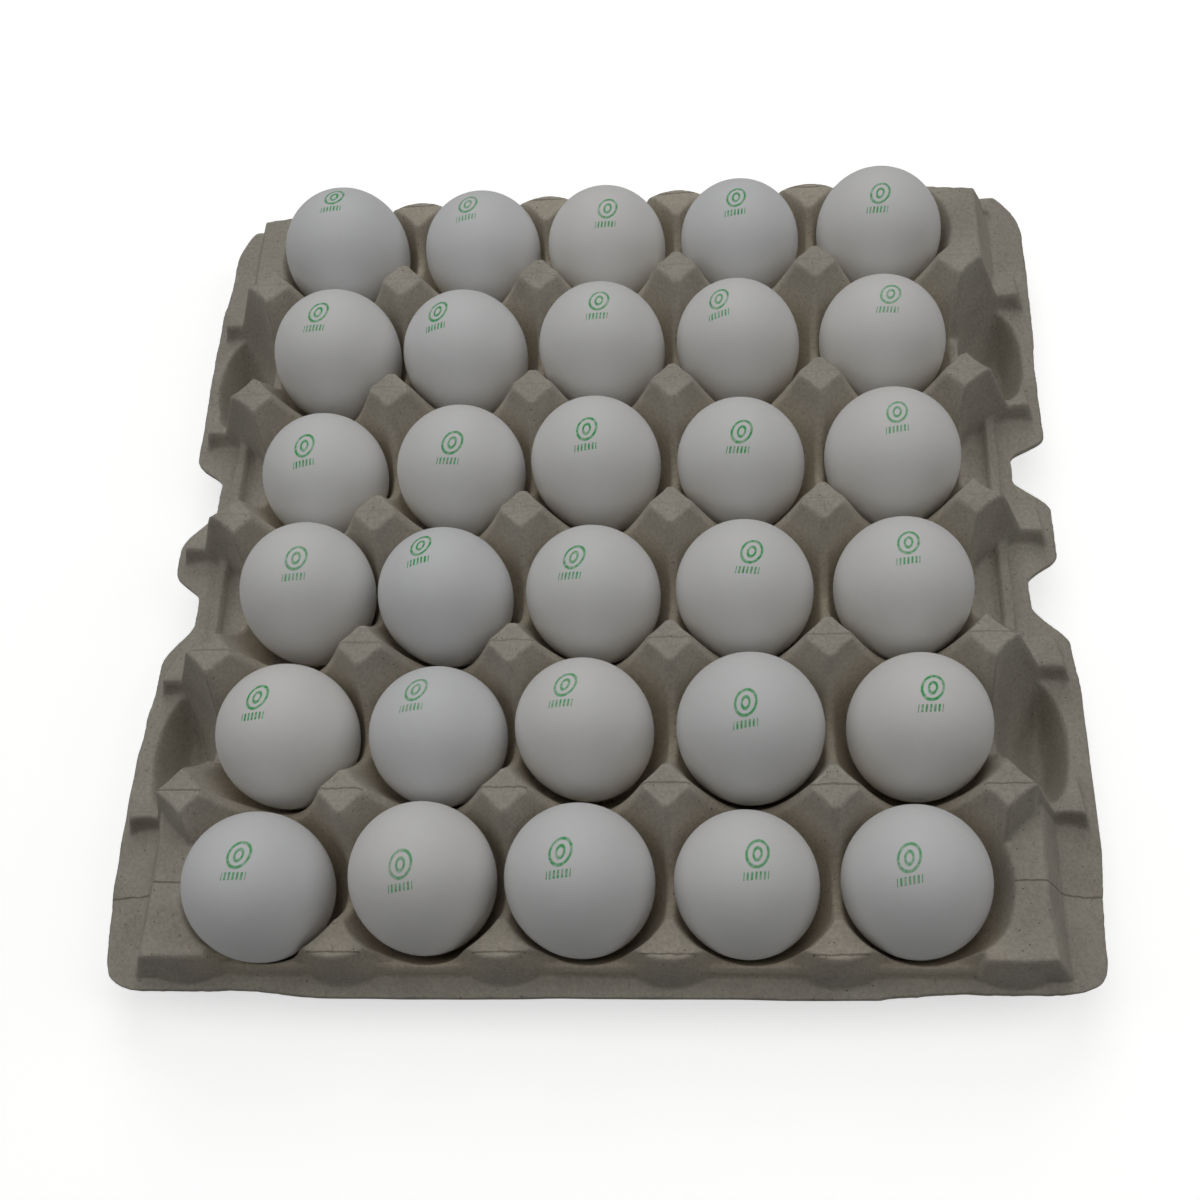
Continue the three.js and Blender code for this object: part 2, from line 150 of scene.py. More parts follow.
# The mould's seams leave fold creases across the posts, half posts, front decks and flanges; each is
# drawn with a thin line of painted shade.
FOLD_POST_SHIFT, FOLD_HALF_POST_Y = 0.6, 138.4  # behind the posts' middle; along the half posts
FOLD_REACH, FOLD_HALF_POST_REACH = 4, 3  # only places this near to such a line show it
FOLD_ON_POST, FOLD_ON_HALF_POST = 1.5, 2  # how far below their tops it still shows
FOLD_HALF_LENGTH = 8  # on a half post
FOLD_DECK_X = BORDER_X + 1.5  # on the front decks it starts here
FOLD_SHADE_FADES = ((-94, -47, 0), (0.9, 0.6, 0.25))  # the painted shade is clear on the front posts, faint on the others

# Painted bounce light: the cups are painted paler and warmer from here down, and from here in, with
# soft edges, for light bounced about inside them.
CUP_BOUNCE_LIGHT_Z = (40.0, 25.0)
CUP_BOUNCE_LIGHT_X = {"x": BORDER_X + 1, "over": 6}
CUP_BOUNCE_LIGHT_Y = {"y": RIM_Y + 2, "over": 4}

GRID = 0.6  # spacing of the finished upper face
FINE = 2  # the surface is worked out this many times finer, then softened
SOFTEN = 0.26  # radius that wet pulp takes over the mould's edges


# ---------------------------------------------------------------------------
# Small helpers
# ---------------------------------------------------------------------------

def linear(hex_colour):
    """An sRGB colour such as "8c8880" as linear red, green, blue and alpha."""
    channels = [int(hex_colour[i:i + 2], 16) / 255 for i in (0, 2, 4)]
    return [c / 12.92 if c <= 0.04045 else ((c + 0.055) / 1.055) ** 2.4 for c in channels] + [1.0]


def ease(share):
    """1 at a share of 0, falling smoothly to 0 at a share of 1."""
    return 0.5 + 0.5 * np.cos(math.pi * np.clip(share, 0, 1))


def smooth_noise(x, y, wavelength, seed):
    """A gentle random surface, about between -1 and 1, as a sum of a few crossing waves."""
    draw = np.random.default_rng(seed)
    total = np.zeros(np.broadcast(x, y).shape)
    for _ in range(NOISE_WAVES):
        angle = draw.uniform(0, 2 * math.pi)
        length = wavelength * draw.uniform(*NOISE_LENGTHS)
        phase = draw.uniform(0, 2 * math.pi)
        along = x * math.cos(angle) + y * math.sin(angle)
        total = total + np.sin(2 * math.pi * along / length + phase)
    return total / math.sqrt(NOISE_WAVES) / NOISE_PEAK


def uneven(x, y, waves):
    return sum(size * smooth_noise(x, y, wavelength, seed) for size, wavelength, seed in waves)


def nearest_line(v, lines):
    """Distance to the nearest of some evenly spaced lines, and that line."""
    step = lines[1] - lines[0]
    index = np.clip(np.round((v - lines[0]) / step), 0, len(lines) - 1).astype(int)
    return v - lines[index], lines[index]


def mesh_object(name, points, faces, smooth=True):
    """A new object in the scene from points in millimetres."""
    mesh = bpy.data.meshes.new(name)
    points = np.asarray(points, dtype=np.float32) * MM
    faces = [np.asarray(part, dtype=np.int32) for part in faces]
    corners = np.concatenate([part.ravel() for part in faces])
    sizes = np.concatenate([np.full(len(part), part.shape[1], dtype=np.int32) for part in faces])
    starts = np.concatenate([[0], np.cumsum(sizes)[:-1]]).astype(np.int32)
    mesh.vertices.add(len(points))
    mesh.vertices.foreach_set("co", points.ravel())
    mesh.loops.add(len(corners))
    mesh.loops.foreach_set("vertex_index", corners)
    mesh.polygons.add(len(sizes))
    mesh.polygons.foreach_set("loop_start", starts)
    mesh.polygons.foreach_set("use_smooth", np.full(len(sizes), smooth))
    mesh.update(calc_edges=True)
    mesh.validate()
    made = bpy.data.objects.new(name, mesh)
    bpy.context.scene.collection.objects.link(made)
    return made


def quads(index):
    """Four-sided faces between neighbours of a grid of point numbers."""
    corners = [index[:-1, :-1], index[1:, :-1], index[1:, 1:], index[:-1, 1:]]
    return np.stack(corners, axis=-1).reshape(-1, 4)


# ---------------------------------------------------------------------------
# The tray's upper face, as a height over the table
# ---------------------------------------------------------------------------

def cup(radius):
    return np.interp(radius, CUP_RADII, CUP_HEIGHTS)


def cone(radius, at, level, draft):
    """A wall that leans outward going up: it passes the radius `at` at a height."""
    return level + (radius - at) / draft


def cells(dx, dy, X, Y):
    """The cups, with the ridges between them flat along their tops."""
    wall = PITCH / 2 - RIDGE_HALF_WIDTH
    open_x = (X > BORDER_X - PITCH / 2) & (Y > BORDER_Y - PITCH) | (X > BORDER_X)
    held_x = np.where(open_x, np.abs(dx), np.minimum(np.abs(dx), wall))
    outer = np.clip((Y - OUTER_CUP["y"]) / OUTER_CUP["over"], 0, 1)
    end_wall = np.abs(dy) + OUTER_CUP["nearer"] * outer
    held_y = np.where(Y > BORDER_Y - PITCH / 2, end_wall, np.minimum(np.abs(dy), wall))
    return cup(np.hypot(held_x, held_y))


def flange(X, Y):
    side = FLANGE_TOP - SIDE_DROOP * np.maximum(X - DECK_FOOT_X, 0)
    beyond = np.maximum(Y - FRONT_FLANGE["y"], 0)
    front = FLANGE_TOP - FRONT_FLANGE["lower"] - FRONT_FLANGE["droop"] * beyond
    return np.where(Y > RIM_Y, np.minimum(side, front), side)


def next_cup(X, d):
    """The cup beyond the outer posts, in the rows that have a pocket."""
    return cup(np.hypot(X - NEXT_CUP_X, d))


def side_wall(X, d, row_kind):
    """The posts' outer walls: a half cup opens over each row's flange or deck."""
    radius = np.hypot(X - SIDE_CUP["x"], d)
    corner = row_kind == CORNER_ROW
    floor = np.where(corner, DECK_TOP, FLANGE_TOP)
    low = np.where(corner, SIDE_CUP["deck_radius"], SIDE_CUP["flange_radius"])
    draft = (SIDE_CUP["top_radius"] - low) / (POST_TOP - floor)
    half_cup = np.maximum(floor, cone(radius, low, floor, draft))
    return np.where(row_kind == POCKET_ROW, next_cup(X, d), half_cup)


def crest(X, behind):
    """A post's corner runs out and down to its stacking bar."""
    corner = np.array([POST_CORNER_X, 0, POST_TOP])
    to_bar = np.array([*BAR_START, BAR_TOP]) - corner
    to_ramp_end = np.array([POST_CORNER_X + RAMP["out"], RAMP["length"], FLANGE_TOP]) - corner
    n = np.cross(to_bar, to_ramp_end)
    facet = POST_TOP - (n[0] * (X - POST_CORNER_X) + n[1] * behind) / n[2]
    inner_foot = CREST_INNER["x"] + CREST_INNER["splay"] * behind
    inner = cone(X, inner_foot, FLANGE_TOP, CREST_INNER["draft"])
    return np.minimum(np.minimum(facet, inner), POST_TOP)


def bar_and_ramp(X, behind, edge):
    """A stacking bar that ends before the torn edge, with a ramp down behind it."""
    foot, end_foot = RAMP["foot_sinks"], RAMP["end_sinks"]
    ramp = BAR_TOP - (BAR_TOP - FLANGE_TOP + foot) * np.maximum(behind, 0) / RAMP["length"]
    end = (X - edge + BAR_END[0]) / (BAR_END[0] - BAR_END[1])
    ramp = ramp - (BAR_TOP - FLANGE_TOP + end_foot) * np.maximum(end, 0)
    return np.where(X > BAR_INNER_X, ramp, NO_WALL)


def buttress(X, behind, edge, pocket_before):
    """Crest, bar and ramp, which end in front at the half cup or the next cup of the row before."""
    from_row = behind + PITCH / 2
    foot_radius = SIDE_CUP["flange_radius"]
    draft = (SIDE_CUP["top_radius"] - foot_radius) / (POST_TOP - FLANGE_TOP)
    half_cup = cone(np.hypot(X - SIDE_CUP["x"], from_row), foot_radius, FLANGE_TOP, draft)
    bar_front = cone(from_row, BAR_FRONT["from_row"], FLANGE_TOP, BAR_FRONT["draft"])
    crest_front = np.where(pocket_before, next_cup(X, from_row), half_cup)
    bar_front = np.where(pocket_before, bar_front, half_cup)
    high = np.minimum(crest(X, behind), crest_front)
    low = np.minimum(bar_and_ramp(X, behind, edge), bar_front)
    return np.where(behind > BUTTRESS_FRONT, np.maximum(high, low), NO_WALL)


def pocket(X, d):
    """A deep finger pocket: the next cup, less what the round wall cuts off."""
    power = POCKET_WALL["squareness"]
    along = POCKET_SHORTER * np.abs(d)
    radius = (np.abs(X - POCKET_WALL["x"]) ** power + along ** power) ** (1 / power)
    wall = cone(radius, POCKET_WALL["radius"], FLANGE_TOP, POCKET_WALL["draft"])
    return POCKET_ROUNDING * np.logaddexp(wall / POCKET_ROUNDING, next_cup(X, d) / POCKET_ROUNDING)


def before_pull(x, y):
    """Where each place of the tray lay before its posts pulled out of line."""
    full, none = PULL_SPAN
    moved_x, moved_y = np.zeros_like(x), np.zeros_like(y)
    for (column, line), (pull_x, pull_y) in PULLED_POSTS.items():
        away = np.hypot(x + BORDER_X - column * PITCH, y + BORDER_Y - line * PITCH)
        weight = ease((away - full) / (none - full))
        moved_x += weight * pull_x
        moved_y += weight * pull_y
    return x - moved_x, y - moved_y


def decks(X, Y, y):
    """The planes of the corner decks' outer sides and of their ends."""
    drop, width = DECK_TOP - FLANGE_TOP, DECK_FOOT_X - DECK_X
    side = DECK_TOP - np.maximum(X - DECK_X, 0) * drop / width
    taper = np.interp(X, DECK_BACK_TAPER["x"], (0, DECK_BACK_TAPER["by"]))
    end_y = np.where(y > 0, DECK_BACK_Y - taper, DECK_FRONT_Y)
    return side, cone(end_y - Y, 0, DECK_TOP, DECK_END_DRAFT)


def upper_face(x, y):
    x, y = before_pull(x, y)
    X, Y = np.abs(x), np.abs(y)
    dx, _ = nearest_line(x, COLUMN_X)
    dy, row = nearest_line(y, ROW_Y)
    post_dx, _ = nearest_line(x, POST_X)
    post_dy, _ = nearest_line(y, POST_Y)
    row_kind = np.round(np.abs(row) / PITCH - 0.5)
    deck_side, deck_end = decks(X, Y, y)

    # the block of posts, lowered to the decks along the front and back
    core = np.where((X < CORE_X) & (Y < CORE_Y), POST_TOP, NO_WALL)
    core = np.where(Y > HALF_POST_Y, np.minimum(core, DECK_TOP), core)
    core = np.where((Y < RIM_Y) & (X < BORDER_X), np.maximum(core, RIM_TOP), core)
    radius = np.hypot(post_dx, np.maximum(Y - HALF_POST["y"], 0))
    scallop = DECK_TOP - (radius - HALF_POST["radius"]) / HALF_POST["draft"]
    core = np.where(Y > HALF_POST["y"], np.maximum(core, np.minimum(scallop, deck_side)), core)
    core = np.where((y > 0) & (X > DECK_BACK_TAPER["x"][0]), np.minimum(core, deck_end), core)
    beside = X > OUTER_WALL_X
    core = np.where(beside, np.minimum(core, side_wall(X, dy, row_kind)), core)
    recess = np.interp(X, RECESS["x"], RECESS["z"])
    recessed = beside & (row_kind == MIDDLE_ROW) & (X < RIB_X[0])
    core = np.where(recessed, np.maximum(core, recess), core)
    shelf = beside & (X < POCKET_RIDGE["x"]) & (row_kind == POCKET_ROW)
    core = np.where(shelf, np.maximum(core, POCKET_RIDGE["z"]), core)

    # the border laid over it
    face = np.maximum(core, flange(X, Y))
    on_deck = (X > BORDER_X - DECK_REACH) & (Y > BORDER_Y - PITCH)
    face = np.maximum(face, np.where(on_deck, np.minimum(deck_side, deck_end), NO_WALL))
    rib = (X > RIB_X[0]) & (X < RIB_X[1]) & (row_kind == MIDDLE_ROW)
    face = np.where(rib, np.maximum(face, RIB_TOP), face)
    row_before = np.abs(y - post_dy - PITCH / 2)
    edge = np.where(x < 0, side_edge(-1, y), side_edge(1, y))
    face = np.maximum(face, buttress(X, post_dy, edge, np.abs(row_before - POCKET_ROW_Y) < 1))

    # the hollows pressed into it
    face = np.minimum(face, np.where(X < CORE_X, cells(dx, dy, X, Y), NO_HOLLOW))
    face = np.minimum(face, np.where(row_kind == POCKET_ROW, pocket(X, dy), NO_HOLLOW))
    saddle = SADDLE["z"] + SADDLE["rise"] * np.maximum(np.abs(dy) - SADDLE["half_length"], 0)
    on_ridge = (row_kind == POCKET_ROW) & (np.abs(X - BORDER_X) < SADDLE["half_width"])
    face = np.minimum(face, np.where(on_ridge, saddle, NO_HOLLOW))
    half_x, half_y = DENT["half"]
    dent = 1 - ((x - DENT["x"]) / half_x) ** 2 - ((y - DENT["y"]) / half_y) ** 2
    dented = face - DENT["deep"] * np.maximum(dent, 0)
    return np.where(dent > 0, np.maximum(dented, FLANGE_TOP - DENT["below_flange"]), face)


# ---------------------------------------------------------------------------
# The torn outline, and the grid stretched out to it
# ---------------------------------------------------------------------------

def side_edge(side, y):
    """|x| of the left or right edge at y: finger notches, bowed flanges and rounded corners."""
    edge = np.full_like(y, EDGE_X)
    for centre, flat, sweep, reach in EDGE_WAVES[side]:
        edge += reach * ease((np.abs(y - centre) - flat) / sweep)
    for corner, past in ((FRONT_CORNER, -y), (BACK_CORNER, y)):
        into = np.clip(past - (EDGE_Y - corner["radius"]), 0, corner["radius"])
        edge -= corner["radius"] - np.sqrt(corner["radius"] ** 2 - into ** 2)
    return edge


def end_edge(x, y):
    """|y| of the front and back edges at x: both draw in towards their corners."""
    draw_in = np.clip((np.abs(x) - DRAW_IN["x"]) / DRAW_IN["over"], 0, 1)
    corner = np.where(y < 0, FRONT_CORNER["depth"], BACK_CORNER["depth"])
    return EDGE_Y - (EDGE_Y - corner) * draw_in ** 2 * (3 - 2 * draw_in)


def stretch(v, even_to, mean_edge, edge):
    """Moves the outer strip, so that its mean edge comes to the edge given."""
    away = np.abs(v)
    moved = even_to + (away - even_to) * (edge - even_to) / (mean_edge - even_to)
    return np.sign(v) * np.where(away > even_to, moved, away)


def stretched_grid():
    """x and y of every fine grid point; the outer strip follows the torn outline."""
    nx = FINE * 2 * round(EDGE_X / GRID) + 1
    ny = FINE * 2 * round(EDGE_Y / GRID) + 1
    u = np.linspace(-EDGE_X, EDGE_X, nx)
    v = np.linspace(-EDGE_Y, EDGE_Y, ny)
    u, v = np.meshgrid(u, v, indexing="ij")
    y = stretch(v, EVEN_Y, EDGE_Y, end_edge(u, v))
    x = stretch(u, EVEN_X, EDGE_X, np.where(u < 0, side_edge(-1, v), side_edge(1, v)))
    waver = uneven(x, y, EDGE_WAVER)
    outer_x = np.clip((np.abs(u) - EVEN_X) / (EDGE_X - EVEN_X), 0, 1) ** 2
    outer_y = np.clip((np.abs(v) - EVEN_Y) / (EDGE_Y - EVEN_Y), 0, 1) ** 2
    x = x + np.sign(x) * waver * outer_x
    y = y + np.sign(y) * waver * outer_y
    return np.clip(x, -EDGE_LIMIT, EDGE_LIMIT), np.clip(y, -EDGE_LIMIT, EDGE_LIMIT)


# ---------------------------------------------------------------------------
# The tray
# ---------------------------------------------------------------------------

def soften(height, sigma):
    """Rounds the face as wet pulp does, over sigma fine steps each way."""
    reach = int(math.ceil(3 * sigma))
    weights = np.exp(-0.5 * (np.arange(-reach, reach + 1) / sigma) ** 2)
    weights /= weights.sum()
    for axis in (0, 1):
        sides = [(reach, reach) if a == axis else (0, 0) for a in (0, 1)]
        padded = np.pad(height, sides, mode="edge")
        here = np.arange(height.shape[axis])
        height = sum(w * np.take(padded, here + i, axis=axis) for i, w in enumerate(weights))
    return height


def under_face(height, spacing, thickness):
    """The face that lies one thickness of pulp inside the upper one, everywhere."""
    reach = int(thickness / spacing)
    low = np.full_like(height, np.inf)
    padded = np.pad(height, reach, mode="edge")
    nx, ny = height.shape
    for i in range(-reach, reach + 1):
        for j in range(-reach, reach + 1):
            away = math.hypot(i, j) * spacing
            if away <= thickness:
                shifted = padded[reach + i:reach + i + nx, reach + j:reach + j + ny]
                low = np.minimum(low, shifted - math.sqrt(thickness ** 2 - away ** 2))
    return np.maximum(low, 0)


def dried(x, y, height, under):
    """Both faces after drying: warped together, with a grain on the upper one."""
    seat = np.clip((height - SEAT["z"]) / SEAT["over"], 0, 1)
    # the front and back flanges are narrow, so they warp in half the distance
    outer = np.maximum(np.abs(x) - WARP["x"], (np.abs(y) - WARP["y"]) * 2) / WARP["over"]
    sway = uneven(x, y, FACE_SWAY) * (1 + WARP["more"] * np.clip(outer, 0, 1))
    sag_x = np.exp(-((x - SAG["x"]) / SAG["half_width"]) ** 2)
    sway = sway - SAG["deep"] * sag_x * np.clip((SAG["y"] - y) / SAG["over"], 0, 1)
    grain = uneven(x, y, FACE_GRAIN)
    return height + seat * (sway + grain), under + seat * sway


def fold_shade_lines(x, y, height):
    """The thin fold lines that run across, where shade is painted: the distance from one in mm, and
    where its painted shade shows.
    """
    x, y = before_pull(x, y)
    X, Y = np.abs(x), np.abs(y)
    from_post, _ = nearest_line(y - FOLD_POST_SHIFT, POST_Y)
    from_row, _ = nearest_line(y, ROW_Y)
    post_dx, _ = nearest_line(x, POST_X)
    on_post = (height > POST_TOP - FOLD_ON_POST) & (np.abs(from_post) < FOLD_REACH)
    on_half_post = (Y > FOLD_HALF_POST_Y - FOLD_HALF_POST_REACH) & (Y < RIM_Y)
    on_half_post = on_half_post & (height > DECK_TOP - FOLD_ON_HALF_POST)
    pocket_row = np.abs(Y - POCKET_ROW_Y) < PITCH / 2
    on_front_deck = (X > FOLD_DECK_X) & (y < PITCH - BORDER_Y)
    on_flange = (X > DECK_FOOT_X) & (Y < BORDER_Y - PITCH) & ~pocket_row
    on_border = (on_front_deck | on_flange) & (np.abs(from_row) < FOLD_REACH)
    away = np.where(on_post, from_post, np.where(on_half_post, Y - FOLD_HALF_POST_Y, from_row))
    short = (np.abs(post_dx) < FOLD_HALF_LENGTH) & (X < BORDER_X - DECK_REACH)
    shown = (on_half_post & short | on_border).astype(float)
    return away, np.where(on_post, np.interp(y, *FOLD_SHADE_FADES), shown)


def painted_cup_light(x, y, height):
    """How much painted bounce light a place gets: 0 on the posts and the border, rising to 1 down in
    the cups.
    """
    inside_x = np.clip((CUP_BOUNCE_LIGHT_X["x"] - np.abs(x)) / CUP_BOUNCE_LIGHT_X["over"], 0, 1)
    inside_y = np.clip((CUP_BOUNCE_LIGHT_Y["y"] - np.abs(y)) / CUP_BOUNCE_LIGHT_Y["over"], 0, 1)
    begins, full = CUP_BOUNCE_LIGHT_Z
    return np.clip((begins - height) / (begins - full), 0, 1) * (inside_x * inside_y)


def ring(nx, ny, step):
    """Grid indices once round the border, anticlockwise."""
    xs, ys = np.arange(0, nx, step), np.arange(0, ny, step)
    bottom = [(i, 0) for i in xs[:-1]]
    right = [(nx - 1, j) for j in ys[:-1]]
    top = [(i, ny - 1) for i in xs[:0:-1]]
    left = [(0, j) for j in ys[:0:-1]]
    return np.array(bottom + right + top + left)


def torn_middle(rim):
    """The ragged middle line of the torn edge, from the upper face's border points."""
    outward = np.roll(rim, -1, axis=0)[:, :2] - np.roll(rim, 1, axis=0)[:, :2]
    outward = np.stack([outward[:, 1], -outward[:, 0]], axis=1)
    outward /= np.linalg.norm(outward, axis=1, keepdims=True)
    ragged = EDGE_RAGGED["out"] + uneven(rim[:, 0], rim[:, 1], EDGE_RAGGED["waver"])
    share = EDGE_MIDDLE["share"] + uneven(rim[:, 0], rim[:, 1], EDGE_MIDDLE["waver"])
    middle = rim.copy()
    middle[:, :2] += outward * ragged[:, None]
    middle[:, 2] -= PULP * share
    return middle


def build_tray():
    """The whole tray as one closed shell: upper face, coarser under face and torn edge."""
    x, y = stretched_grid()
    height = soften(upper_face(x, y), SOFTEN / (GRID / FINE))
    x, y, height = (a[::FINE, ::FINE] for a in (x, y, height))
    height, under = dried(x, y, height, under_face(height, GRID, PULP))

    nx, ny = height.shape
    top_index = np.arange(nx * ny).reshape(nx, ny)
    top = np.stack([x, y, height], axis=-1).reshape(-1, 3)
    low_x, low_y, low_z = (a[::2, ::2] for a in (x, y, under))
    low_index = np.arange(low_x.size).reshape(low_x.shape) + len(top)
    low = np.stack([low_x, low_y, low_z], axis=-1).reshape(-1, 3)

    # the torn edge joins them: four-sided faces above its middle line, three-sided ones below
    loop = ring(nx, ny, 1)
    upper_loop = top_index[loop[:, 0], loop[:, 1]]
    coarse = ring(nx, ny, 2) // 2
    lower_loop = low_index[coarse[:, 0], coarse[:, 1]]
    middle = torn_middle(top[upper_loop])
    middle_loop = np.arange(len(middle)) + len(top) + len(low)
    band = [upper_loop, middle_loop, np.roll(middle_loop, -1), np.roll(upper_loop, -1)]
    faces = [quads(top_index), quads(low_index)[:, ::-1], np.stack(band, axis=1)]
    a, b, c = middle_loop[0::2], middle_loop[1::2], np.roll(middle_loop[0::2], -1)
    d, e = lower_loop, np.roll(lower_loop, -1)
    for corners in ((a, d, b), (b, d, e), (b, e, c)):
        faces.append(np.stack(corners, axis=1))
    made = mesh_object("pulp_tray", np.concatenate([top, low, middle]), faces)

    # what the pulp's colours need to know: distance from a fold and where its painted shade shows,
    # and how deep in a cup, for the painted bounce light
    away, shows = fold_shade_lines(x, y, height)
    fold = np.zeros((len(made.data.vertices), 3), dtype=np.float32)
    marks = [away.ravel(), shows.ravel(), painted_cup_light(x, y, height).ravel()]
    fold[:top_index.size] = np.stack(marks, axis=1)
    layer = made.data.attributes.new("fold_shade_and_cup_light", "FLOAT_VECTOR", "POINT")
    layer.data.foreach_set("vector", fold.ravel())
    return made


# ---------------------------------------------------------------------------
# The eggs
# ---------------------------------------------------------------------------

EGG_AROUND, EGG_ALONG = 64, 44
EGG_SEED = 1000  # the first egg's; ten more for each row
EGG_PIVOT = 13.0  # height in its cup about which an egg leans
EGG_FULLER = (0.11, 0.15)  # how much fuller the blunt half is, least and most
EGG_PEAK = 1.0085  # what that makes of the widest radius, on average
WIDEST = 0.31  # an egg is widest this share of its half length above its middle

# Where each egg was stamped, in mm from its middle, front row first.
MARKS = [
    [(1, -1), (-1, -6), (-3, -2), (3, -1), (-4, -3)],
    [(-3, 0), (-3, 3), (-4, 2), (-1, -5), (2, -1)],
    [(3, -3), (-4, 3), (-4, -2), (2, -2), (0, 0)],
    [(-1, -4), (1, -6), (-1, -4), (0, -5), (0, -1)],
    [(-1, -2), (-6, -1), (1, -1), (-6, -1), (1, -1)],
    [(0, 3), (-2, 1), (2, -4), (-1, -2), (-1, -5)],
]
MARK_TILT = (-10, 4)  # degrees clockwise, least and most
MARK_SLANT = 0.18  # the die's figures lean over like sloping letters
MARK_SEEDS = 500.0  # each egg takes its own patch of the ink's noise
MARK_HIDDEN = 60.0  # puts the egg's underside out of the mark's reach
# The die's figures in mm. "fades" is where the ink ends and where it is full: from an oval's
# line as a share of its size, and from the middle of the row of bars.
OUTER_OVAL = {"up": 2.1, "half_width": 3.0, "half_height": 3.7, "fades": (0.15, 0.09)}
INNER_OVAL = {"up": 2.0, "half_width": 1.1, "half_height": 1.7, "fades": (0.36, 0.22)}
BARS = {"up": -3.9, "pitch": 1.16, "wide_fades": (3.55, 3.4), "tall_fades": (1.15, 1.0)}


def egg_shape(radius, half_length, fuller):
    """An upright egg's points, blunt end up, and its faces."""
    t = math.pi * np.arange(1, EGG_ALONG) / EGG_ALONG
    a = 2 * math.pi * np.arange(EGG_AROUND) / EGG_AROUND
    t, a = np.meshgrid(t, a, indexing="ij")
    r = radius * np.sin(t) * (1 + fuller * np.cos(t)) / EGG_PEAK
    points = np.stack([r * np.cos(a), r * np.sin(a), half_length * np.cos(t)], axis=-1)
    points = np.concatenate([points.reshape(-1, 3), [[0, 0, half_length], [0, 0, -half_length]]])

    index = np.arange((EGG_ALONG - 1) * EGG_AROUND).reshape(EGG_ALONG - 1, EGG_AROUND)
    wrapped = np.concatenate([index, index[:, :1]], axis=1)
    north, south = len(points) - 2, len(points) - 1
    cap = np.stack([wrapped[0, :-1], wrapped[0, 1:], np.full(EGG_AROUND, north)], axis=1)
    base = np.stack([wrapped[-1, 1:], wrapped[-1, :-1], np.full(EGG_AROUND, south)], axis=1)
    return points, [quads(wrapped), cap, base]


def mark_place(points, centre, place, draw):
    """Flat coordinates in millimetres on the shell about the mark's centre, and its ink's seed."""
    up_here = points[:, 2] > centre[2]
    away = np.hypot(*(points[:, :2] - centre[:2] - place).T)
    stamped = points[np.argmin(away + MARK_HIDDEN * ~up_here)].copy()
    stamped[:2] = centre[:2] + place
    normal = Vector((stamped - centre).tolist()).normalized()
    tilt = math.radians(draw.uniform(*MARK_TILT))
    across = Vector((math.cos(tilt), -math.sin(tilt), 0))
    across = (across - normal * across.dot(normal)).normalized()
    upward = normal.cross(across)
    from_mark = points - stamped
    over, up = from_mark @ np.array(across), from_mark @ np.array(upward)
    seed = np.full(len(points), draw.uniform(0, MARK_SEEDS))
    return np.stack([over - MARK_SLANT * up, up + MARK_HIDDEN * ~up_here, seed], axis=1)


def build_egg(node, row, column):
    """An egg that fills its node's box, leaning as the box stands off its cup's centre."""
    draw = np.random.default_rng(EGG_SEED + 10 * row + column)
    low, high = (np.array(corner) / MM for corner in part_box(node))
    middle, half = (low + high) / 2, (high - low) / 2
    home = np.array([COLUMN_X[column], ROW_Y[row]])
    lean = (middle[:2] - home) / (1 + WIDEST * half[2] / (middle[2] - EGG_PIVOT))
    centre = np.array([*(home + lean), middle[2]])
    axis = np.array([*lean, middle[2] - EGG_PIVOT])
    half_length = half[2] * axis[2] / np.linalg.norm(axis)
    radius = (half[0] + half[1]) / 2

    points, faces = egg_shape(radius, half_length, draw.uniform(*EGG_FULLER))
    turn = Vector((0, 0, 1)).rotation_difference(Vector(axis.tolist())).to_matrix()
    points = points @ np.array(turn).T + centre
    made = mesh_object(node.replace("egg_", "hen_egg_"), points, faces)

    mark = mark_place(points, centre, np.array(MARKS[row][column], dtype=float), draw)
    layer = made.data.attributes.new("mark_place", "FLOAT_VECTOR", "POINT")
    layer.data.foreach_set("vector", mark.astype(np.float32).ravel())
    shade = made.data.attributes.new("shell_shade", "FLOAT", "POINT")
    shade.data.foreach_set("value", np.full(len(points), draw.uniform(0, 1), dtype=np.float32))
    return made


# ---------------------------------------------------------------------------
# Materials
# ---------------------------------------------------------------------------

# the warm pulp colour is painted bounce light down in the cups
PULP_DARK, PULP_LIGHT, PULP_BOUNCE_LIGHT = "aea89c", "b7b2a5", "d3c8b4"
# the fold colour is painted shade in the fold creases
SPECK_BROWN, FIBRE_BROWN, FOLD_SHADE_BROWN = "756d60", "7b7365", "5a5347"
SHELL_COOL, SHELL_WARM, SHELL_MOTTLE = "ebecee", "f2f1ef", "d8d4cc"
INK_GREEN = "1ab258"
LAMINATE, GLOW = "c8c8c6", "ffffff"
FOLD_WANDER = 1.6  # mm by which a fold line strays, all in all


def add(tree, kind, inputs, output=0, **settings):
    """Adds a node; each input is a value or another node's output. Gives back one of its outputs."""
    made = tree.nodes.new(kind)
    for name, value in settings.items():
        setattr(made, name, value)
    for socket, value in inputs.items():
        if isinstance(value, bpy.types.NodeSocket):
            tree.links.new(value, made.inputs[socket])
        else:
            made.inputs[socket].default_value = value
    return made.outputs[output] if made.outputs else None


def new_material(name):
    material = bpy.data.materials.new(name)
    material.use_nodes = True
    material.node_tree.nodes.clear()
    return material, material.node_tree


def per_metre(millimetres):
    """The scale of a pattern whose grains or waves are about this long."""
    return 1 / (millimetres * MM)


def near(tree, value, centre, fades):
    """How nearly a value is at a centre: 0 from the first distance of fades, 1 within the second."""
    away = add(tree, "ShaderNodeMath", {0: value, 1: centre}, operation="SUBTRACT")
    away = add(tree, "ShaderNodeMath", {0: away}, operation="ABSOLUTE")
    ends, full = fades
    return add(tree, "ShaderNodeMapRange", {"Value": away, "From Min": ends, "From Max": full})


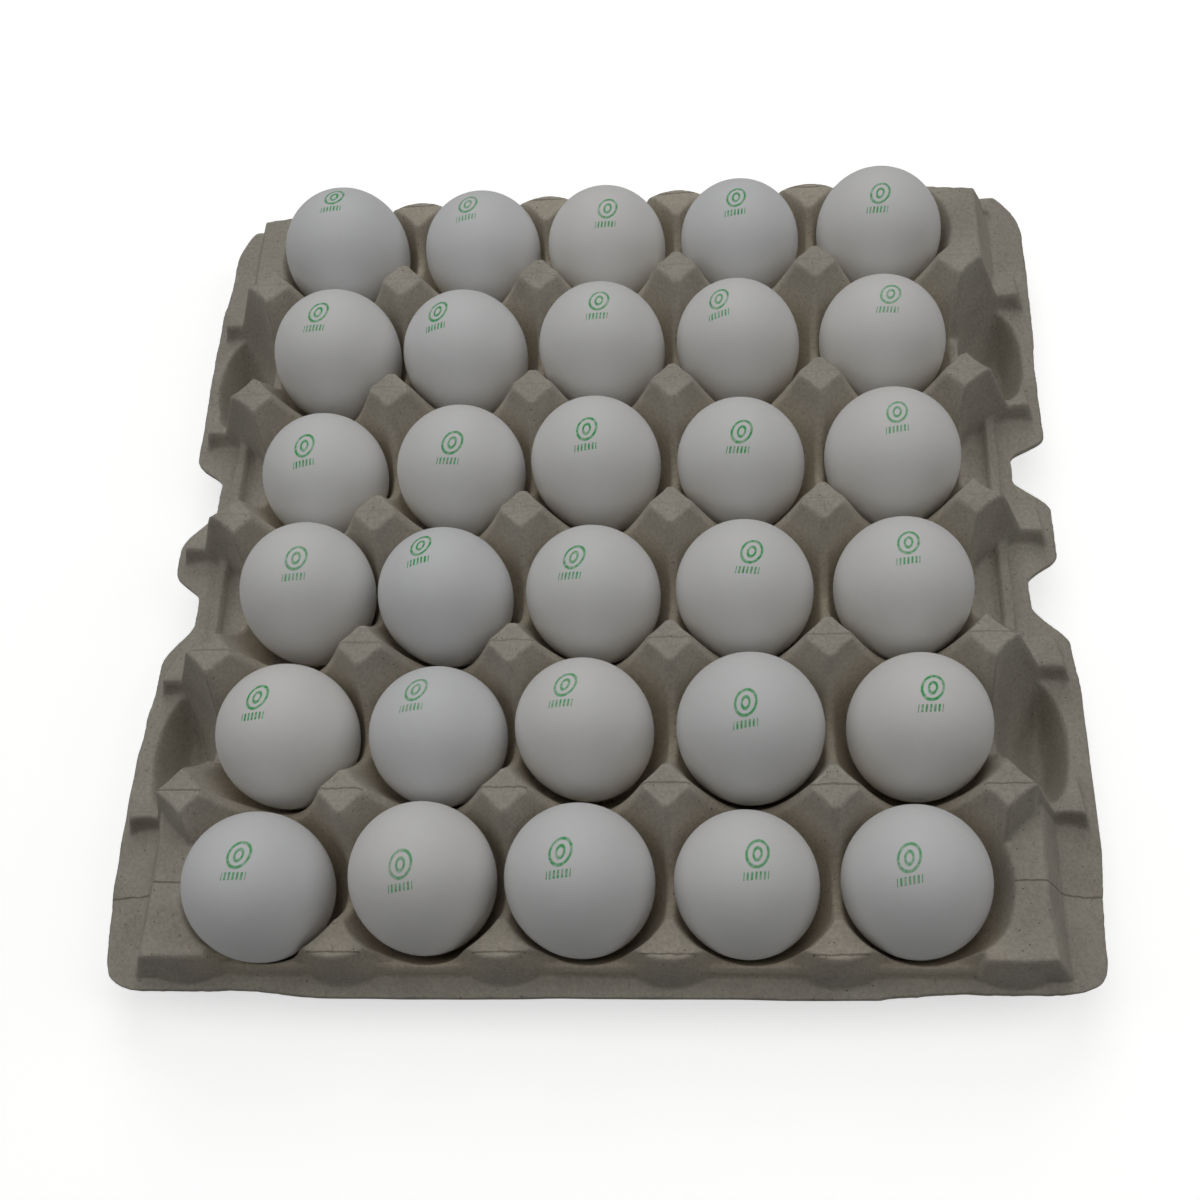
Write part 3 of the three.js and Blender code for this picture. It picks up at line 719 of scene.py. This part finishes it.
def pulp_material():
    """Moulded recycled paper: felted grey fibres, quite matt, with specks of old ink."""
    material, tree = new_material("moulded_recycled_pulp")
    where = add(tree, "ShaderNodeTexCoord", {}, "Object")

    # clouds: the stock drains unevenly, so the grey drifts over a centimetre or two
    cloud = add(tree, "ShaderNodeTexNoise", {
        "Vector": where, "Scale": per_metre(16), "Detail": 3.0, "Roughness": 0.55}, "Fac")
    cloud = add(tree, "ShaderNodeMapRange", {"Value": cloud, "From Min": 0.35, "From Max": 0.65})
    colour = add(tree, "ShaderNodeMix", {
        0: cloud, 6: linear(PULP_DARK), 7: linear(PULP_LIGHT)}, 2, data_type="RGBA")

    # painted bounce light: down in the cups the colour turns paler and warmer, standing in for light
    # bounced between the cups
    marks = add(tree, "ShaderNodeAttribute", {}, "Vector", attribute_name="fold_shade_and_cup_light")
    down = add(tree, "ShaderNodeSeparateXYZ", {0: marks}, "Z")
    colour = add(tree, "ShaderNodeMix", {
        0: down, 6: colour, 7: linear(PULP_BOUNCE_LIGHT)}, 2, data_type="RGBA")

    # felt: short fibres matted together, paler and darker by turns
    felt = add(tree, "ShaderNodeTexNoise", {
        "Vector": where, "Scale": per_metre(1.2), "Detail": 6.0, "Roughness": 0.75}, "Fac")
    matted = add(tree, "ShaderNodeMapRange", {
        "Value": felt, "From Min": 0.38, "From Max": 0.62, "To Min": 0.86, "To Max": 1.1})
    colour = add(tree, "ShaderNodeMix", {
        0: 1.0, 6: colour, 7: matted}, 2, data_type="RGBA", blend_type="MULTIPLY")

    # specks of ink and bark, a few to the square centimetre
    speck_cells = {"Vector": where, "Scale": per_metre(1.9)}
    speck = add(tree, "ShaderNodeTexVoronoi", speck_cells, "Distance")
    pick = add(tree, "ShaderNodeTexVoronoi", speck_cells, "Color")
    pick = add(tree, "ShaderNodeMapRange", {"Value": pick, "From Min": 0.62, "From Max": 0.70})
    speck = add(tree, "ShaderNodeMapRange", {"Value": speck, "From Min": 0.17, "From Max": 0.09})
    speck = add(tree, "ShaderNodeMath", {0: speck, 1: pick}, operation="MULTIPLY")
    colour = add(tree, "ShaderNodeMix", {
        0: speck, 6: colour, 7: linear(SPECK_BROWN)}, 2, data_type="RGBA")

    # loose dark fibres a few millimetres long
    along = add(tree, "ShaderNodeMapping", {
        "Vector": where, "Rotation": (0.3, 0.5, 0.6), "Scale": (1, 0.16, 1)})
    fibre = add(tree, "ShaderNodeTexNoise", {
        "Vector": along, "Scale": per_metre(0.8), "Detail": 1.0, "Roughness": 0.5}, "Fac")
    fibre = add(tree, "ShaderNodeMapRange", {
        "Value": fibre, "From Min": 0.69, "From Max": 0.77, "To Max": 0.35})
    colour = add(tree, "ShaderNodeMix", {
        0: fibre, 6: colour, 7: linear(FIBRE_BROWN)}, 2, data_type="RGBA")

    # fold lines across the posts and the border: the crease is bumped in, and its thin, dark,
    # wandering and broken line is painted shade
    wander = add(tree, "ShaderNodeTexNoise", {
        "Vector": where, "Scale": per_metre(4), "Detail": 3.0, "Roughness": 0.6}, "Fac")
    away = add(tree, "ShaderNodeSeparateXYZ", {0: marks}, "X")
    away = add(tree, "ShaderNodeMath", {
        0: wander, 1: FOLD_WANDER, 2: away}, operation="MULTIPLY_ADD")
    line = near(tree, away, FOLD_WANDER / 2, (0.42, 0.1))
    broken = add(tree, "ShaderNodeMapRange", {
        "Value": felt, "From Min": 0.36, "From Max": 0.5, "To Min": 0.3})
    line = add(tree, "ShaderNodeMath", {0: line, 1: broken}, operation="MULTIPLY")
    shows = add(tree, "ShaderNodeSeparateXYZ", {0: marks}, "Y")
    line = add(tree, "ShaderNodeMath", {0: line, 1: shows}, operation="MULTIPLY")
    faint = add(tree, "ShaderNodeMath", {0: line, 1: 0.6}, operation="MULTIPLY")
    colour = add(tree, "ShaderNodeMix", {
        0: faint, 6: colour, 7: linear(FOLD_SHADE_BROWN)}, 2, data_type="RGBA")

    fine = add(tree, "ShaderNodeTexNoise", {
        "Vector": where, "Scale": per_metre(0.45), "Detail": 3.0, "Roughness": 0.6}, "Fac")
    relief = add(tree, "ShaderNodeMath", {0: felt, 1: fine}, operation="ADD")
    relief = add(tree, "ShaderNodeMath", {0: relief, 1: line}, operation="SUBTRACT")
    bumped = add(tree, "ShaderNodeBump", {
        "Strength": 0.6, "Distance": 0.25 * MM, "Height": relief})
    surface = add(tree, "ShaderNodeBsdfPrincipled", {
        "Base Color": colour, "Roughness": 0.96, "IOR": 1.45, "Specular IOR Level": 0.25,
        "Normal": bumped})
    add(tree, "ShaderNodeOutputMaterial", {"Surface": surface})
    return material


def oval_line(tree, across, upward, oval):
    """The ink of one oval line."""
    up = add(tree, "ShaderNodeMath", {0: upward, 1: oval["up"]}, operation="SUBTRACT")
    place = add(tree, "ShaderNodeCombineXYZ", {0: across, 1: up})
    to_size = (1 / oval["half_width"], 1 / oval["half_height"], 0)
    place = add(tree, "ShaderNodeVectorMath", {0: place, 1: to_size}, operation="MULTIPLY")
    size = add(tree, "ShaderNodeVectorMath", {0: place}, "Value", operation="LENGTH")
    return near(tree, size, 1.0, oval["fades"])


def stamped_ink(tree):
    """How much ink lies at a place: one oval line round another, over a row of bars."""
    mark = add(tree, "ShaderNodeAttribute", {}, "Vector", attribute_name="mark_place")
    across = add(tree, "ShaderNodeSeparateXYZ", {0: mark}, "X")
    upward = add(tree, "ShaderNodeSeparateXYZ", {0: mark}, "Y")
    seed = add(tree, "ShaderNodeSeparateXYZ", {0: mark}, "Z")
    outer = oval_line(tree, across, upward, OUTER_OVAL)
    inner = oval_line(tree, across, upward, INNER_OVAL)

    stripe = add(tree, "ShaderNodeMath", {
        0: across, 1: 2 * math.pi / BARS["pitch"]}, operation="MULTIPLY")
    stripe = add(tree, "ShaderNodeMath", {0: stripe}, operation="COSINE")
    stripe = add(tree, "ShaderNodeMapRange", {"Value": stripe, "From Min": -0.25, "From Max": 0.15})
    wide = near(tree, across, 0.0, BARS["wide_fades"])
    tall = near(tree, upward, BARS["up"], BARS["tall_fades"])
    bars = add(tree, "ShaderNodeMath", {0: stripe, 1: wide}, operation="MULTIPLY")
    bars = add(tree, "ShaderNodeMath", {0: bars, 1: tall}, operation="MULTIPLY")
    drawn = add(tree, "ShaderNodeMath", {0: outer, 1: inner}, operation="MAXIMUM")
    drawn = add(tree, "ShaderNodeMath", {0: drawn, 1: bars}, operation="MAXIMUM")

    # the ink took unevenly, and some eggs were pressed harder than others
    took = add(tree, "ShaderNodeTexNoise", {
        "Vector": mark, "Scale": 0.55, "Detail": 4.0, "Roughness": 0.75}, "Fac")
    took = add(tree, "ShaderNodeMapRange", {
        "Value": took, "From Min": 0.38, "From Max": 0.56, "To Min": 0.5, "To Max": 1.0})
    pressed = add(tree, "ShaderNodeMapRange", {
        "Value": seed, "From Max": MARK_SEEDS, "To Min": 0.78})
    took = add(tree, "ShaderNodeMath", {0: took, 1: pressed}, operation="MULTIPLY")
    return add(tree, "ShaderNodeMath", {0: drawn, 1: took}, operation="MULTIPLY")


def shell_material():
    """White hen's eggshell: chalky calcite with fine pores and a faint satin bloom,
    stamped with green ink."""
    material, tree = new_material("white_eggshell")
    where = add(tree, "ShaderNodeTexCoord", {}, "Object")
    shade = add(tree, "ShaderNodeAttribute", {}, "Fac", attribute_name="shell_shade")
    mottle = add(tree, "ShaderNodeTexNoise", {
        "Vector": where, "Scale": per_metre(2.2), "Detail": 4.0, "Roughness": 0.6}, "Fac")
    faint = add(tree, "ShaderNodeMath", {0: mottle, 1: 0.16}, operation="MULTIPLY")
    shell = add(tree, "ShaderNodeMix", {
        0: shade, 6: linear(SHELL_COOL), 7: linear(SHELL_WARM)}, 2, data_type="RGBA")
    shell = add(tree, "ShaderNodeMix", {
        0: faint, 6: shell, 7: linear(SHELL_MOTTLE)}, 2, data_type="RGBA")
    colour = add(tree, "ShaderNodeMix", {
        0: stamped_ink(tree), 6: shell, 7: linear(INK_GREEN)}, 2, data_type="RGBA")

    pores = add(tree, "ShaderNodeTexVoronoi", {"Vector": where, "Scale": per_metre(0.7)}, "Distance")
    pitted = add(tree, "ShaderNodeMath", {
        0: pores, 1: 0.5, 2: mottle}, operation="MULTIPLY_ADD")
    bumped = add(tree, "ShaderNodeBump", {
        "Strength": 0.18, "Distance": 0.08 * MM, "Height": pitted})
    surface = add(tree, "ShaderNodeBsdfPrincipled", {
        "Base Color": colour, "Roughness": 0.55, "IOR": 1.5, "Specular IOR Level": 0.35,
        "Subsurface Weight": 0.1, "Subsurface Radius": (1.0, 0.85, 0.7),
        "Subsurface Scale": 1.5 * MM, "Normal": bumped})
    add(tree, "ShaderNodeOutputMaterial", {"Surface": surface})
    return material


def table_material():
    """Smooth pale laminate, lit a little from below as a light table is."""
    material, tree = new_material("pale_laminate")
    surface = add(tree, "ShaderNodeBsdfPrincipled", {
        "Base Color": linear(LAMINATE), "Roughness": 0.7, "Specular IOR Level": 0.2,
        "Emission Color": linear(GLOW), "Emission Strength": 0.66})
    add(tree, "ShaderNodeOutputMaterial", {"Surface": surface})
    return material


# ---------------------------------------------------------------------------
# Table, light and camera
# ---------------------------------------------------------------------------

CAMERA_AT = (52.0, -253.9, 456.9)
CAMERA_LOOK = (-0.1057, 0.4701, -0.8763)
CAMERA_RIGHT = (0.9942, 0.0310, -0.1032)
CAMERA_LENS, CAMERA_SENSOR = 46.53, 36.0
CAMERA_CLIP_START = 0.01

# Soft lamps, all turned to the eggs: where each hangs and its size in metres, and its watts.
LAMPS = (
    ("overhead_softbox", (0, 0, 1.3), (1.0, 1.0), 3.0),
    ("back_softbox", (0, 1.0, 1.1), (1.0, 0.8), 4.2),
    ("left_softbox", (-1.1, 0, 1.0), (0.8, 1.0), 3.1),
    ("right_softbox", (1.1, 0, 1.0), (0.8, 1.0), 2.8),
)
LAMPS_AIM = (0, 0, 0.03)
ROOM_COLOUR, ROOM_STRENGTH = (1.0, 1.0, 1.0, 1.0), 0.01
TABLE_HALF = 1500.0


def set_camera():
    look = Vector(CAMERA_LOOK).normalized()
    right = Vector(CAMERA_RIGHT)
    right = (right - look * right.dot(look)).normalized()
    up = right.cross(look)
    camera = bpy.data.objects.new("camera", bpy.data.cameras.new("camera"))
    camera.data.lens = CAMERA_LENS
    camera.data.sensor_width = CAMERA_SENSOR
    camera.data.clip_start = CAMERA_CLIP_START
    axes = Matrix((right, up, -look)).transposed().to_4x4()
    camera.matrix_world = Matrix.Translation(Vector(CAMERA_AT) * MM) @ axes
    bpy.context.scene.collection.objects.link(camera)
    bpy.context.scene.camera = camera


def set_light():
    for name, at, size, watts in LAMPS:
        lamp = bpy.data.lights.new(name, "AREA")
        lamp.shape = "RECTANGLE"
        lamp.size, lamp.size_y = size
        lamp.energy = watts
        made = bpy.data.objects.new(name, lamp)
        aim = Vector(LAMPS_AIM) - Vector(at)
        made.location = at
        made.rotation_euler = aim.to_track_quat("-Z", "Y").to_euler()
        bpy.context.scene.collection.objects.link(made)
    world = bpy.data.worlds.new("studio_room")
    bpy.context.scene.world = world
    world.use_nodes = True
    world.node_tree.nodes["Background"].inputs["Color"].default_value = ROOM_COLOUR
    world.node_tree.nodes["Background"].inputs["Strength"].default_value = ROOM_STRENGTH
    bpy.context.scene.view_settings.view_transform = "Standard"


def lay_table():
    """The table top, whose own faint glow falls on nothing but itself."""
    low, high = -TABLE_HALF, TABLE_HALF
    points = [(low, low, 0), (high, low, 0), (high, high, 0), (low, high, 0)]
    table = mesh_object("table_top", points, [[(0, 1, 2, 3)]], smooth=False)
    table.data.materials.append(table_material())
    itself = bpy.data.collections.new("lit_by_the_table")
    itself.objects.link(table)
    table.light_linking.receiver_collection = itself


# ---------------------------------------------------------------------------
# Putting it together
# ---------------------------------------------------------------------------

set_camera()
set_light()
lay_table()

tray = build_tray()
tray.data.materials.append(pulp_material())
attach(tray, "root")
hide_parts("egg_tray")

shell = shell_material()
for row in range(ROWS):
    for column in range(COLUMNS):
        name = f"egg_r{row + 1}_c{column + 1}"
        egg = build_egg(name, row, column)
        egg.data.materials.append(shell)
        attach(egg, "root")
        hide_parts(name)
